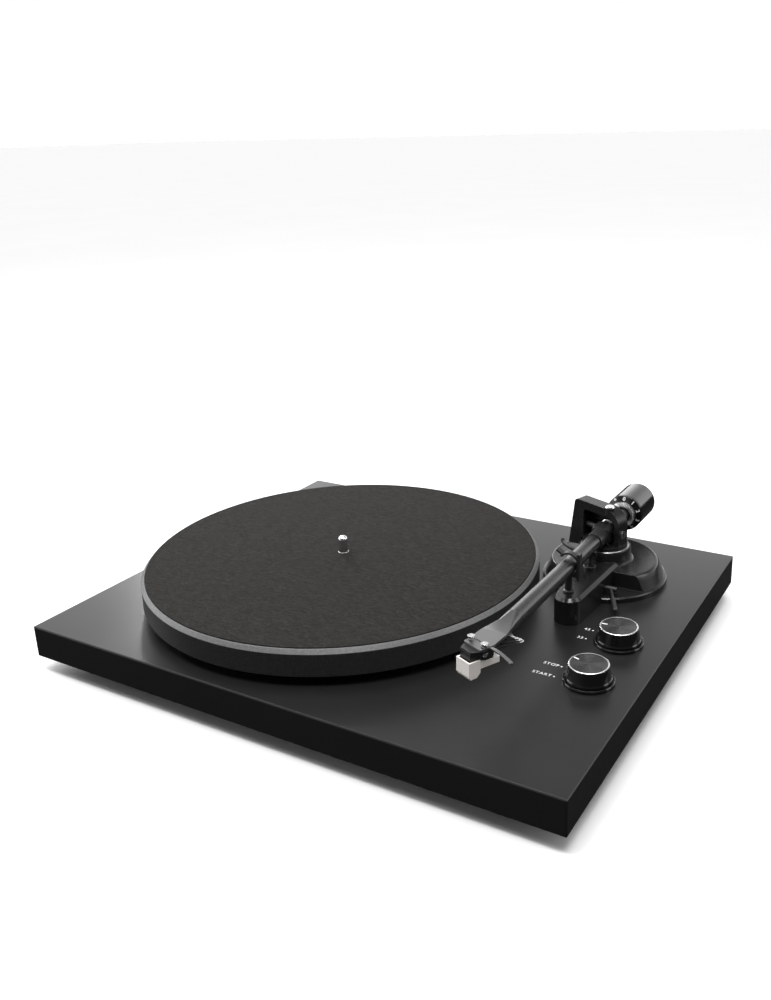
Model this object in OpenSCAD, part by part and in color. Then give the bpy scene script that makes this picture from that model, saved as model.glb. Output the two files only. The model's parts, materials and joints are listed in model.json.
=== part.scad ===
// Belt-drive turntable: plinth, platter, gimbal tonearm, cueing lift and two rotary controls.
// Millimetres. +X is to the right, +Y to the back, +Z up, and the feet stand on z = 0.

/* [Plinth] */
// Width of the plinth
plinth_w = 415; // [405:1:430]
// Depth of the plinth
plinth_d = 340; // [335:1:355]
// Thickness of the plinth
plinth_h = 24; // [24:0.5:26]
// Height of the rubber feet below the plinth
foot_h = 12; // [8:0.5:18]
// Radius of each foot
foot_r = 13; // [12:0.5:13.5]

/* [Platter] */
// Outer diameter of the platter
platter_d = 300; // [296:1:304]
// Gap between the plinth and the platter rim
platter_gap = 6.9; // [6.5:0.1:8]
// Diameter of the felt mat
mat_d = 294; // [284:1:294]
// Thickness of the felt mat
mat_t = 2.5; // [1.5:0.1:3]
// Radius of the spindle that a record drops onto
spindle_r = 3.6; // [3.55:0.01:3.62]

/* [Tonearm] */
// Outer radius of the arm tube
tube_r = 5.8; // [5.5:0.1:5.9]
// Radius of the counterweight
weight_r = 14.4; // [13.8:0.1:14.8]
// Angle between the headshell and the tube
offset_angle = 24; // [22:0.5:26]

/* [Controls] */
// Radius of each knob at its base
knob_r = 15.2; // [14:0.1:15.2]
// Height of the knobs above the plinth
knob_h = 12.4; // [11:0.1:14]

/* [Hidden] */

$fn = 96;
e = 0.01;
top = foot_h + plinth_h;
// spindle axis, arm pivot, motor shaft and knob centres
sx = -46; sy = -10;
px = 128; py = 90; pz = top + 39;
mx = -127; my = 71;
kx = 174; ky1 = -57; ky2 = -3;
// platter levels
pl_bot = top + platter_gap;
pl_rim = top + 23.2;
mat_top = top + 26.66;
seat = mat_top - mat_t;
ring_r = 75;
pulley_r = 7;
belt_z = top + 10;
// the arm at rest: turned and raised a little from straight ahead
arm_turn = 1.2;
arm_rise = 1.9;
yoke_turn = -18;
lift_r = 33;
arm_drop = 1;

// ---------- shared shapes ----------
module at_pivot() { translate([px, py, pz]) children(); }
// the tube's axis passes a little below the tilt axis
module arm() { at_pivot() rotate([-arm_rise, 0, arm_turn]) translate([0.4, 0, -arm_drop]) children(); }
// the headshell's own frame: origin between the screws, -y forward
module head() { arm() translate(head_at) rotate([0, 0, -ha]) children(); }
// a cylinder along the arm, from y0 to y1
module along(r, y0, y1) { translate([0, y0, 0]) rotate([-90, 0, 0]) cylinder(h = y1 - y0, r = r); }
module cone_along(r0, r1, y0, y1) { translate([0, y0, 0]) rotate([-90, 0, 0]) cylinder(h = y1 - y0, r1 = r0, r2 = r1); }
module rrect(w, d, r) {
  square([w - 2 * r, d], center = true);
  square([w, d - 2 * r], center = true);
  for (x = [-1, 1], y = [-1, 1]) translate([x * (w / 2 - r), y * (d / 2 - r)]) circle(r = r);
}
module rbox(w, d, h, r) { linear_extrude(height = h) rrect(w, d, r); }
// a slotted screw head with its shank, head up, seated at z = 0
module screw(r, h, shank, len) {
  difference() {
    union() { cylinder(h = h, r = r); translate([0, 0, -len]) cylinder(h = len + e, r = shank); }
    translate([-r - 1, -r * 0.14, h * 0.45]) cube([2 * r + 2, r * 0.28, h]);
  }
}
// a cross-recess countersunk screw, head down at z = 0
module under_screw(r, len) {
  difference() {
    union() { cylinder(h = r * 0.6, r1 = r, r2 = r * 0.5); cylinder(h = len, r = r * 0.5); }
    for (a = [0, 90]) rotate(a) translate([-r * 0.55, -r * 0.1, -1]) cube([r * 1.1, r * 0.2, 1 + r * 0.35]);
  }
}

// ---------- sweep for the thin leads ----------
function unit(v) = v / norm(v);
function bez(p, t) = pow(1 - t, 3) * p[0] + 3 * t * pow(1 - t, 2) * p[1]
  + 3 * t * t * (1 - t) * p[2] + pow(t, 3) * p[3];
function tangent(pts, i) = unit(pts[min(i + 1, len(pts) - 1)] - pts[max(i - 1, 0)]);
module wire(pts, r, s = 8) {
  n = len(pts);
  rings = [for (i = [0:n - 1]) let (t = tangent(pts, i), a = unit(cross(t, [0.1, 0.2, 1])), b = cross(a, t))
    for (k = [0:s - 1]) pts[i] + r * (cos(360 * k / s) * a + sin(360 * k / s) * b)];
  polyhedron(points = rings, faces = concat(
    [[for (k = [s - 1:-1:0]) k]], [[for (k = [0:s - 1]) (n - 1) * s + k]],
    [for (i = [0:n - 2]) for (k = [0:s - 1]) [(i + 1) * s + k, i * s + k, (i + 1) * s + (k + 1) % s]],
    [for (i = [0:n - 2]) for (k = [0:s - 1]) [(i + 1) * s + (k + 1) % s, i * s + k, i * s + (k + 1) % s]]));
}

// ---------- plinth and what it holds ----------
feet_at = [for (x = [-176, 176], y = [-138, 138]) [x, y]];
cover_at = [for (x = [-190, 0, 190], y = [-112, 112]) [x, y]];
spacer_at = [for (x = [132, 186], y = [-84, 24]) [x, y]];
module edge_cuts(w, d, z, c) {
  for (y = [-1, 1]) translate([0, y * d / 2, z]) rotate([45, 0, 0]) cube([w + 4, c, c], center = true);
  for (x = [-1, 1]) translate([x * w / 2, 0, z]) rotate([0, 45, 0]) cube([c, d + 4, c], center = true);
}
module cover_shape(grow) {
  square([392 + 2 * grow, 236 + 2 * grow], center = true);
  translate([10 - grow, 110]) square([100 + 2 * grow, 43.6 + grow]);
}
module plinth() color([0.06, 0.06, 0.065]) difference() {
  translate([0, 0, foot_h]) rbox(plinth_w, plinth_d, plinth_h, 1.2);
  edge_cuts(plinth_w, plinth_d, top, 1.1);
  edge_cuts(plinth_w, plinth_d, foot_h, 1.1);
  // seat for the bottom cover
  translate([0, 0, foot_h - 1]) linear_extrude(height = 3.2) cover_shape(0.4);
  // pockets for the controls, the preamplifier and the channels between them
  translate([122, -92, foot_h]) cube([72, 124, 17]);
  translate([16, 58, foot_h]) cube([88, 56, 17]);
  translate([16, 100, foot_h]) cube([88, 54, 17]);
  translate([60, 20, foot_h]) cube([70, 12, 17]);
  translate([60, 20, foot_h]) cube([12, 50, 17]);
  translate([-120, 58, foot_h]) cube([140, 12, 10]);
  // recess for the plugs at the back, open below and behind
  translate([12, 152, foot_h - 1]) cube([96, 30, 20.5]);
  // holes for the bearing, motor, arm stem and control bushings
  translate([sx, sy, 0]) cylinder(h = 60, r = 9.2);
  translate([mx, my, 0]) cylinder(h = 60, r = 22);
  translate([px, py, 0]) cylinder(h = 60, r = 9.2);
  for (y = [ky1, ky2]) translate([kx, y, 0]) cylinder(h = 60, r = 4.1);
  // pilot holes
  for (p = feet_at) translate([p[0], p[1], foot_h - 1]) cylinder(h = 15, r = 1.5);
  for (p = cover_at) translate([p[0], p[1], foot_h - 1]) cylinder(h = 12, r = 1.5);
  for (a = [30, 150, 270]) translate([mx + 27 * cos(a), my + 27 * sin(a), top - 9]) cylinder(h = 20, r = 1.2);
}
module bottom_cover() color([0.1, 0.1, 0.1]) difference() {
  translate([0, 0, foot_h + 0.1]) linear_extrude(height = 2) cover_shape(0);
  for (p = cover_at) translate([p[0], p[1], foot_h]) cylinder(h = 5, r = 1.7);
  for (p = cover_at) translate([p[0], p[1], foot_h + 0.09]) cylinder(h = 1.6, r1 = 3.2, r2 = 1.7);
  // cooling slots under the control board
  for (i = [-3:3]) translate([150, -30 + 8 * i, foot_h]) rbox(36, 2.4, 6, 1.1);
}
module cover_screws() color([0.2, 0.2, 0.21]) for (p = cover_at)
  translate([p[0], p[1], foot_h + 0.2]) under_screw(2.9, 9.5);
module feet() color([0.05, 0.05, 0.05]) for (p = feet_at) translate([p[0], p[1], 0]) difference() {
  union() {
    cylinder(h = 1.2, r1 = foot_r - 1.2, r2 = foot_r);
    translate([0, 0, 1.2]) cylinder(h = foot_h - 1.2, r1 = foot_r, r2 = foot_r - 1);
  }
  translate([0, 0, foot_h - 4]) cylinder(h = 10, r = 1.7);
  translate([0, 0, -1]) cylinder(h = foot_h - 3, r = 3.6);
  translate([0, 0, 4.5]) difference() { cylinder(h = 1.4, r = foot_r + 1); cylinder(h = 1.4, r = foot_r - 1.2); }
}
module foot_screws() color([0.7, 0.7, 0.72]) for (p = feet_at)
  translate([p[0], p[1], foot_h - 4]) rotate([180, 0, 0]) screw(3.2, 1.8, 1.45, 14);
module bearing_housing() color([0.75, 0.62, 0.3]) translate([sx, sy, 0]) difference() {
  union() {
    translate([0, 0, top]) cylinder(h = 3, r = 24);
    translate([0, 0, foot_h + 2.4]) cylinder(h = plinth_h, r = 9);
    translate([0, 0, top + 2.9]) cylinder(h = 1.6, r1 = 9, r2 = 7.5);
  }
  translate([0, 0, foot_h + 6]) cylinder(h = 60, r = 4.02);
  for (a = [45:90:315]) rotate(a) translate([18, 0, top + 1.4]) cylinder(h = 4, r1 = 1.8, r2 = 3.4);
}
module thrust_ball() color([0.8, 0.8, 0.82]) translate([sx, sy, foot_h + 6 + 1.98]) sphere(r = 1.98);
module motor() color([0.6, 0.61, 0.63]) translate([mx, my, 0]) difference() {
  union() {
    translate([0, 0, foot_h + 3]) cylinder(h = plinth_h - 3.6, r = 17.5);
    translate([0, 0, top - 0.7]) cylinder(h = 2.2, r = 5);
    translate([-7, 16, foot_h + 8]) cube([14, 4, 8]);
  }
  translate([0, 0, foot_h + 12]) cylinder(h = 40, r = 1.04);
  for (a = [0, 180]) rotate(a) translate([9, 0, top - 4]) cylinder(h = 6, r = 1.3);
}
motor_holes = [30, 150, 270];
module motor_plate() color([0.62, 0.62, 0.64]) translate([mx, my, top + 1.6]) difference() {
  union() {
    cylinder(h = 1.6, r = 22);
    for (a = motor_holes) rotate(a) translate([12, -5, 0]) cube([15, 10, 1.6]);
    for (a = motor_holes) rotate(a) translate([27, 0, 0]) cylinder(h = 1.6, r = 5);
  }
  translate([0, 0, -1]) cylinder(h = 5, r = 5.1);
  for (a = motor_holes) rotate(a) translate([27, 0, -1]) cylinder(h = 5, r = 1.7);
  for (a = [0, 180]) rotate(a) translate([9, 0, -1]) cylinder(h = 5, r = 1.6);
}
module motor_grommets() color([0.07, 0.07, 0.07]) {
  for (a = motor_holes) translate([mx + 27 * cos(a), my + 27 * sin(a), top]) difference() {
    cylinder(h = 1.6, r = 4.6); translate([0, 0, -1]) cylinder(h = 5, r = 1.7); }
  // packing ring between the can and the plate
  translate([mx, my, top - 0.6]) difference() {
    cylinder(h = 2.2, r = 12.5); translate([0, 0, -1]) cylinder(h = 5, r = 10.8); }
}
module motor_screws() color([0.75, 0.75, 0.77]) {
  for (a = motor_holes) translate([mx + 27 * cos(a), my + 27 * sin(a), top + 3.2]) screw(2.8, 1.6, 1.2, 11.5);
  for (a = [0, 180]) translate([mx + 9 * cos(a), my + 9 * sin(a), top + 3.2]) screw(2.3, 1.3, 1.25, 6.5);
}
// belt outline round the drive ring and the pulley, grown by g
bd = sqrt((mx - sx) * (mx - sx) + (my - sy) * (my - sy));
module belt_shape(g) hull() {
  circle(r = ring_r + g, $fn = 240);
  translate([bd, 0]) circle(r = pulley_r + g, $fn = 240);
}
module drive_belt() color([0.05, 0.05, 0.05])
  translate([sx, sy, belt_z]) rotate(atan2(my - sy, mx - sx)) linear_extrude(height = 4)
    difference() { belt_shape(0.85); belt_shape(0.05); }

board_z = foot_h + 6.4;
module control_board() color([0.05, 0.3, 0.16]) {
  difference() {
    translate([159, -30, board_z]) rbox(62, 116, 1.6, 1);
    for (p = spacer_at) translate([p[0], p[1], board_z - 1]) cylinder(h = 4, r = 1.6);
  }
  for (p = [[142, -72, 12, 8, 5], [142, -50, 7, 7, 3], [141, -30, 9, 14, 6], [142, -6, 10, 10, 7], [152, 16, 16, 6, 4]])
    translate([p[0] - p[2] / 2, p[1] - p[3] / 2, board_z + 1.5]) cube([p[2], p[3], p[4]]);
  for (p = [[152, -64], [152, -38], [152, -14], [136, -20]]) translate([p[0], p[1], board_z + 1.5]) cylinder(h = 7, r = 2.5);
}
module board_spacers() color([0.8, 0.8, 0.78]) for (p = spacer_at) translate([p[0], p[1], 0]) {
  difference() {
    translate([0, 0, board_z + 1.6]) cylinder(h = foot_h + 17 - board_z - 1.6, r = 3);
    translate([0, 0, board_z + 1]) cylinder(h = 6, r = 1.5);
  }
  translate([0, 0, board_z]) rotate([180, 0, 0]) screw(2.6, 1.5, 1.5, 5.5);
}
module preamp_board() color([0.05, 0.3, 0.16]) {
  translate([60, 84, board_z]) rbox(82, 48, 1.6, 1);
  translate([22, 107, board_z]) cube([76, 36, 1.6]);
  for (x = [28, 92], y = [66, 102]) translate([x, y, board_z + 1.5]) cylinder(h = foot_h + 17 - board_z - 1.5, r = 2.6);
  for (i = [0:2]) translate([38 + 16 * i, 78, board_z + 1.5]) cube([9, 6, 2.2]);
  for (i = [0:3]) translate([38 + 12 * i, 94, board_z + 1.5]) cylinder(h = 7.5, r = 2.5);
}

// ---------- terminals in the recess at the back ----------
tz = foot_h + 10.6;
rca_x = [28, 45];
gx = 60; swx = 75; dcx = 93;
module rear_panel() color([0.08, 0.08, 0.08]) difference() {
  translate([16.3, 152, foot_h + 2.1]) cube([87.4, 2, 17.4]);
  for (x = rca_x) translate([x, 150, tz]) rotate([-90, 0, 0]) cylinder(h = 9, r = 3.02);
  translate([gx, 150, tz]) rotate([-90, 0, 0]) cylinder(h = 9, r = 2.02);
  translate([swx - 5, 150, tz - 2]) cube([10, 9, 4]);
  translate([dcx, 150, tz]) rotate([-90, 0, 0]) cylinder(h = 9, r = 4.52);
}
module rca_jacks() color([0.83, 0.68, 0.3]) for (x = rca_x) translate([x, 0, tz]) rotate([-90, 0, 0]) difference() {
  union() {
    translate([0, 0, 155.2]) cylinder(h = 8, r = 4.15);
    translate([0, 0, 154.6]) cylinder(h = 1, r = 5.2);
    translate([0, 0, 147]) cylinder(h = 9, r = 2.4);
  }
  translate([0, 0, 156]) cylinder(h = 20, r = 3.3);
}
module rca_insulators() color([0.9, 0.9, 0.88]) for (x = rca_x) translate([x, 0, tz]) rotate([-90, 0, 0]) difference() {
  union() {
    translate([0, 0, 154]) cylinder(h = 0.6, r = 5.6);
    translate([0, 0, 151]) cylinder(h = 3.1, r = 3);
  }
  translate([0, 0, 140]) cylinder(h = 30, r = 2.4);
}
module ground_post() color([0.78, 0.78, 0.8]) translate([gx, 0, tz]) rotate([-90, 0, 0]) {
  translate([0, 0, 148]) cylinder(h = 16, r = 2);
  translate([0, 0, 154]) cylinder(h = 0.8, r = 4);
}
module ground_nut() color([0.85, 0.85, 0.86]) translate([gx, 0, tz]) rotate([-90, 0, 0]) difference() {
  union() {
    translate([0, 0, 155.2]) cylinder(h = 5, r = 3.8);
    for (i = [0:17]) rotate(20 * i) translate([3.5, -0.35, 155.6]) cube([0.7, 0.7, 4.2]);
  }
  translate([0, 0, 150]) cylinder(h = 30, r = 2.06);
}
module power_inlet() color([0.06, 0.06, 0.06]) translate([dcx, 0, tz]) rotate([-90, 0, 0]) {
  difference() {
    union() {
      translate([0, 0, 154]) cylinder(h = 1.2, r = 5.6);
      translate([0, 0, 144]) cylinder(h = 10.5, r = 4.5);
    }
    translate([0, 0, 146]) cylinder(h = 20, r = 2.8);
  }
  translate([0, 0, 145]) cylinder(h = 9.5, r = 0.95);
}
module preamp_switch() color([0.2, 0.2, 0.21]) difference() {
  translate([swx - 7, 146.4, tz - 3.5]) cube([14, 5.5, 7]);
  translate([swx - 4.6, 148.2, tz - 1.7]) cube([9.2, 9, 3.4]);
}
module preamp_slider() color([0.85, 0.85, 0.83]) {
  translate([swx - 4.2, 148.6, tz - 1.4]) cube([5, 7.6, 2.8]);
  for (i = [0:2]) translate([swx - 3.8 + 1.6 * i, 156.1, tz - 1.4]) cube([0.8, 0.5, 2.8]);
}

// ---------- controls ----------
module knob_bezels() color([0.04, 0.04, 0.04]) for (y = [ky1, ky2]) translate([kx, y, top]) difference() {
  union() {
    cylinder(h = 1.6, r = 16.9);
    translate([0, 0, 1.6 - e]) cylinder(h = 0.6, r1 = 16.9, r2 = 16.4);
  }
  translate([0, 0, 0.8]) cylinder(h = 5, r = knob_r + 0.4);
  translate([0, 0, -1]) cylinder(h = 5, r = 7.6);
}
module rotary_switches() color([0.3, 0.3, 0.32]) for (y = [ky1, ky2]) translate([kx, y, 0]) difference() {
  union() {
    translate([-8, -8, board_z + 1.6]) cube([16, 16, foot_h + 16.8 - board_z - 1.6]);
    translate([0, 0, foot_h + 16]) cylinder(h = 8.8, r = 4);
    translate([0, 0, top + 0.05]) cylinder(h = 1.6, r = 6.2, $fn = 6);
    translate([0, 0, top]) cylinder(h = 0.1, r = 7.2);
  }
  translate([0, 0, board_z + 3]) cylinder(h = 40, r = 3.04);
}
module knob(r, h) difference() {
  rotate_extrude() polygon([[0, 1.2], [r - 0.4, 1.2], [r, 1.6], [r, 3.6], [r - 0.7, 4.4], [r - 1.9, h - 0.3], [r - 2.1, h - 0.1],
    [r - 2.3, h - 0.1], [r - 2.3, h - 0.9], [0, h - 0.9]]);
  translate([0, 0, 0.1]) cylinder(h = h - 3, r = 3);
  translate([0, 0, 0.1]) cylinder(h = 2.8, r = 8.2);
}
module knob_cap(r, h) rotate_extrude() polygon([[0, h - 0.9], [r - 2.3, h - 0.9], [r - 2.3, h], [r - 2.5, h + 0.15],
  [r - 3.3, h + 0.15], [r - 3.5, h - 0.05], [0, h - 0.05]]);
module shaft_d() difference() {
  translate([0, 0, board_z + 3.4]) cylinder(h = top + knob_h - 3.2 - board_z - 3.4, r = 3);
  translate([2, -4, top + 2.2]) cube([4, 8, 20]);
}
module start_knob() color([0.03, 0.03, 0.03]) translate([kx, ky1, top]) knob(knob_r, knob_h);
module start_knob_cap() color([0.3, 0.3, 0.31]) translate([kx, ky1, top]) knob_cap(knob_r, knob_h);
module start_shaft() color([0.8, 0.8, 0.82]) translate([kx, ky1, 0]) shaft_d();
module speed_knob() color([0.03, 0.03, 0.03]) translate([kx, ky2, top]) knob(knob_r, knob_h);
module speed_knob_cap() color([0.3, 0.3, 0.31]) translate([kx, ky2, top]) knob_cap(knob_r, knob_h);
module speed_shaft() color([0.8, 0.8, 0.82]) translate([kx, ky2, 0]) shaft_d();

// ---------- platter, drive ring, spindle, mat, pulley ----------
module platter() color([0.12, 0.12, 0.125]) translate([sx, sy, 0]) rotate_extrude($fn = 180) polygon([
  [8, seat - 4.2], [70, seat - 4.2], [76, seat - 4.2], [136, seat - 4.2], [142, seat - 7], [143, pl_bot],
  [platter_d / 2 - 0.8, pl_bot], [platter_d / 2, pl_bot + 0.8], [platter_d / 2, pl_rim],
  [mat_d / 2 + 0.7, mat_top - 0.75], [mat_d / 2 + 0.3, mat_top - 0.6], [mat_d / 2 + 0.3, seat], [8, seat]]);
module sub_platter() color([0.9, 0.9, 0.88]) translate([sx, sy, 0]) difference() {
  union() {
    rotate_extrude($fn = 180) polygon([[0, pl_bot + 0.6], [ring_r + 1.6, pl_bot + 0.6], [ring_r + 1.6, pl_bot + 1.8],
      [ring_r, pl_bot + 2.4], [ring_r, seat - 4.2], [ring_r - 3, seat - 4.2], [ring_r - 3, pl_bot + 3.6], [14, pl_bot + 3.6],
      [14, seat - 4.2], [7.9, seat - 4.2], [7.9, seat - 0.4], [0, seat - 0.4]]);
    for (a = [0:45:315]) rotate(a) translate([12, -1, pl_bot + 3]) cube([ring_r - 14, 2, 6]);
  }
  translate([0, 0, pl_bot - 1]) cylinder(h = 40, r = 4);
  for (a = [22.5:45:360]) rotate(a) translate([42, 0, pl_bot - 1]) cylinder(h = 6, r = 11);
}
tip = top + 39.5;
module spindle() color([0.85, 0.85, 0.87]) translate([sx, sy, 0]) {
  translate([0, 0, foot_h + 10.2]) cylinder(h = mat_top - 0.1 - foot_h - 10.2, r = 4);
  rotate_extrude() polygon(concat([[0, seat], [spindle_r, seat], [spindle_r, tip - 3]],
    [for (a = [10:10:90]) [spindle_r * cos(a), tip - 3 + 3 * sin(a)]]));
}
module felt_mat() color([0.16, 0.15, 0.14]) translate([sx, sy, seat]) difference() {
  union() {
    cylinder(h = mat_t - 0.4, r = mat_d / 2, $fn = 180);
    translate([0, 0, mat_t - 0.4 - e]) cylinder(h = 0.4 + e, r1 = mat_d / 2, r2 = mat_d / 2 - 0.4, $fn = 180);
  }
  translate([0, 0, -1]) cylinder(h = 6, r = 4.1);
}
module motor_shaft() color([0.8, 0.8, 0.82]) translate([mx, my, foot_h + 13]) cylinder(h = top + 17 - foot_h - 13, r = 1);
module motor_pulley() color([0.82, 0.66, 0.3]) translate([mx, my, 0]) difference() {
  rotate_extrude() polygon([[0, top + 6.6], [4.5, top + 6.6], [4.5, top + 8.4], [8.4, top + 8.4], [8.4, top + 9.2],
    [pulley_r, top + 9.8], [pulley_r, top + 14.2], [8.4, top + 14.8], [8.4, top + 15.6], [0, top + 15.6]]);
  translate([0, 0, top]) cylinder(h = 30, r = 1);
}

// ---------- tonearm base ----------
post = [130.9, 12.7];
lift_at = [px + 1, py - 33];
bar_at = [py - 37.4, top + 9.6];
module beam_end(c, r) translate(c) { cylinder(h = 17.8, r = r); cylinder(h = 20, r = r - 2.3); }
module tonearm_base() color([0.07, 0.07, 0.075]) difference() {
  union() {
    difference() {
      translate([px, py, top]) rotate_extrude() polygon([[0, 0], [47.4, 0], [47.4, 3.2], [46.6, 4], [45.2, 4.3],
        [41.2, 14.6], [40.2, 16], [39.4, 16.4], [38, 16.4], [37.2, 16.1], [22.4, 16.1], [21.2, 16.8], [20.2, 19],
        [19.5, 26.4], [19.1, 27], [18.4, 27], [18.4, 25.8], [0, 25.8]]);
      // upright flat behind the lift lever
      translate([px + 4, py - 72.6, top + 4.3]) cube([60, 50, 20]);
    }
    // stem down through the plinth
    translate([px, py, foot_h + 3.5]) cylinder(h = plinth_h, r = 9);
    // raised beam forward to the rest column
    translate([0, 0, top]) hull() { beam_end(post, 10.3); beam_end([131, 74], 13.2); }
  }
  // bore and counterbore for the arm's vertical shaft
  translate([px, py, foot_h]) cylinder(h = 80, r = 4.05);
  translate([px, py, top + 23]) cylinder(h = 10, r = 15);
  // seat for the lift cylinder
  translate([lift_at[0], lift_at[1], top + 12]) cylinder(h = 20, r = 4.3);
  // bore for the lever's spindle
  translate([px + 6, bar_at[0], bar_at[1]]) rotate([0, 90, 0]) cylinder(h = 30, r = 1.55);
  // socket under the arm clip
  translate([tc[0] - 0.5, tc[1], top + 15]) cylinder(h = 20, r = 2);
}
module base_ring() color([0.85, 0.85, 0.86]) translate([px, py, top]) difference() {
  union() {
    translate([0, 0, 25.8]) cylinder(h = 1.3, r = 18.35);
    translate([0, 0, 27.1 - e]) cylinder(h = 0.4, r1 = 18.35, r2 = 17.9);
  }
  translate([0, 0, 20]) cylinder(h = 10, r = 15);
}
module lift_cylinder() color([0.1, 0.1, 0.1]) translate([lift_at[0], lift_at[1], top]) difference() {
  union() {
    translate([0, 0, 12]) cylinder(h = 10.2, r = 4.3);
    translate([0, 0, 21.6]) cylinder(h = 0.9, r = 4.7);
    translate([0, 0, 22.5 - e]) cylinder(h = 0.4, r1 = 4.7, r2 = 4.3);
  }
  translate([0, 0, 14]) cylinder(h = 30, r = 1.6);
  translate([0, 0, 21.9]) difference() { cylinder(h = 3, r = 3.7); cylinder(h = 3, r = 2.6); }
}
module bar_sector(z, h, a0, a1, r0, r1) translate([px, py, top + z]) linear_extrude(height = h)
  polygon(concat([for (i = [0:24]) let (a = a0 + (a1 - a0) * i / 24) r1 * [cos(a), sin(a)]],
    [for (i = [24:-1:0]) let (a = a0 + (a1 - a0) * i / 24) r0 * [cos(a), sin(a)]]));
module lift_bar() color([0.12, 0.12, 0.12]) {
  translate([lift_at[0], lift_at[1], top + 16]) cylinder(h = 15.6, r = 1.55);
  bar_sector(31, 1.8, -146, -80, lift_r - 1.2, lift_r + 1.2);
  // stop turned up at the far end
  bar_sector(32.6, 1.1, -146, -144, lift_r - 1.2, lift_r + 1.2);
  // boss on top of the rod
  translate([lift_at[0], lift_at[1], top + 30]) cylinder(h = 1.2, r = 2.6);
}
module lift_lever() color([0.08, 0.08, 0.08]) {
  translate([px + 7, bar_at[0], bar_at[1]]) rotate([0, 90, 0]) cylinder(h = 9, r = 1.5);
  translate([px + 15.7, bar_at[0], bar_at[1]]) rotate([0, 90, 0]) {
    cylinder(h = 8, r = 1.9);
    translate([0, 0, 8 - e]) cylinder(h = 0.5, r1 = 1.9, r2 = 1.4);
  }
  // bent rod with its grip, reaching forward and down
  translate([px + 19.4, bar_at[0], bar_at[1]]) rotate([0, 0, 28]) rotate([12, 0, 0]) rotate([90, 0, 0]) {
    cylinder(h = 12, r = 1.1);
    translate([0, 0, 11]) cylinder(h = 13, r = 1.75);
    translate([0, 0, 24]) sphere(r = 1.75);
  }
}

// ---------- arm rest: post, saddle, side wall and a hook that stays over the tube ----------
cd = 74.5;
tc = [px + 0.4 + cd * tan(arm_turn), py - cd, pz - arm_drop + cd * tan(arm_rise)];
slot_r = tube_r + 0.4;
raise = 2.5;
module clip_shape() difference() {
  union() {
    translate([0, raise]) circle(r = slot_r + 1.4);
    translate([-slot_r + 1.4, -slot_r - 1.6]) square([2 * slot_r + 0.8, 6]);
  }
  translate([0, raise]) circle(r = slot_r);
  translate([-slot_r, 0]) square([2 * slot_r, raise]);
  circle(r = slot_r);
  // open towards the platter, so the tube can leave level
  translate([-40, -slot_r]) square([40, 2 * slot_r + 0.1]);
}
module arm_clip() color([0.09, 0.09, 0.09]) {
  translate([tc[0], tc[1] + 2.25, tc[2]]) rotate([90, 0, 0]) linear_extrude(height = 4.5) {
    clip_shape();
    // side wall, and the tip flared up from the end of the arch
    translate([slot_r, -10]) square([2.2, raise + slot_r + 11.2]);
    translate([-4.6, raise + slot_r - 1.6]) rotate(146) translate([-0.6, -1.3]) square([6.4, 1.4]);
  }
  translate([tc[0] - 0.5, tc[1], top + 15.2]) cylinder(h = tc[2] - slot_r - 1 - top - 15.2, r = 2);
  // collar on the column and thicker neck below the saddle
  translate([tc[0] - 0.5, tc[1], top + 20]) cylinder(h = 1.1, r = 3.8);
  translate([tc[0] - 0.5, tc[1], top + 21.1 - e]) cylinder(h = 0.7, r1 = 3.8, r2 = 2.7);
  translate([tc[0] - 0.5, tc[1], top + 21]) cylinder(h = tc[2] - slot_r - 1 - top - 21, r = 2.6);
}

// ---------- yoke and its bearings ----------
vf = -4.9; vb = 6;
module yoke_frame() { at_pivot() rotate(yoke_turn) children(); }
module yoke_slab(v0, v1) yoke_frame() translate([0, v1, 0]) rotate([90, 0, 0])
  linear_extrude(height = v1 - v0) children();
module yoke() color([0.08, 0.08, 0.085]) difference() {
  union() {
    difference() {
      yoke_slab(vf, vb) hull() {
        translate([-23.3, 16.5]) circle(r = 3.4);
        translate([3.2, 6]) circle(r = 13);
        translate([14.2, -11.4]) square([2, 0.4]);
        translate([-32, -18.5]) square([2, 0.4]);
      }
      // window, left open in front of a thin rear plate with a hole for the arm
      yoke_slab(vf - 1, vb - 1.6) hull() {
        translate([-14.9, 10.6]) circle(r = 2.6);
        translate([4.6, 5.2]) circle(r = 7.6);
        translate([10.2, -7.6]) circle(r = 2);
        translate([-15.5, -7.6]) circle(r = 2);
      }
      yoke_slab(vb - 3, vb + 1) translate([-1.4, -1.3]) circle(r = 7.4);
    }
    translate([px, py, top + 27.8]) cylinder(h = 2.2, r = 16.9);
  }
  // trim the side walls clear of the neck
  translate([px, py, top + 10]) cylinder(h = 17.8, r = 20.4);
  // bores for the tilt pins, the screws behind them and the bias dial
  yoke_frame() translate([-29, 0, 0]) rotate([0, 90, 0]) cylinder(h = 60, r = 1.55);
  yoke_frame() translate([14.2, 0, 0]) rotate([0, 90, 0]) cylinder(h = 20, r = 2.4);
  yoke_frame() translate([-40, 0, 0]) rotate([0, 90, 0]) cylinder(h = 15.4, r = 2.4);
  yoke_frame() translate([-40, 0, 0]) rotate([0, 90, 0]) cylinder(h = 11.4, r = 3.4);
  yoke_frame() translate([5.5, -2, 14.4]) cylinder(h = 30, r = 3.65);
  translate([px, py, top + 20]) cylinder(h = 20, r = 4);
}
module pivot_shaft() color([0.8, 0.8, 0.82]) translate([px, py, 0])
  translate([0, 0, foot_h + 6]) cylinder(h = top + 29.9 - foot_h - 6, r = 4);
module pivot_screws() color([0.85, 0.85, 0.86]) yoke_frame() {
  translate([16.2, 0, 0]) rotate([0, 90, 0]) screw(3.1, 1.2, 2.4, 1.9);
  translate([-28.6, 0, 0]) rotate([0, -90, 0]) screw(3.1, 1.2, 2.4, 3.6);
}
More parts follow.
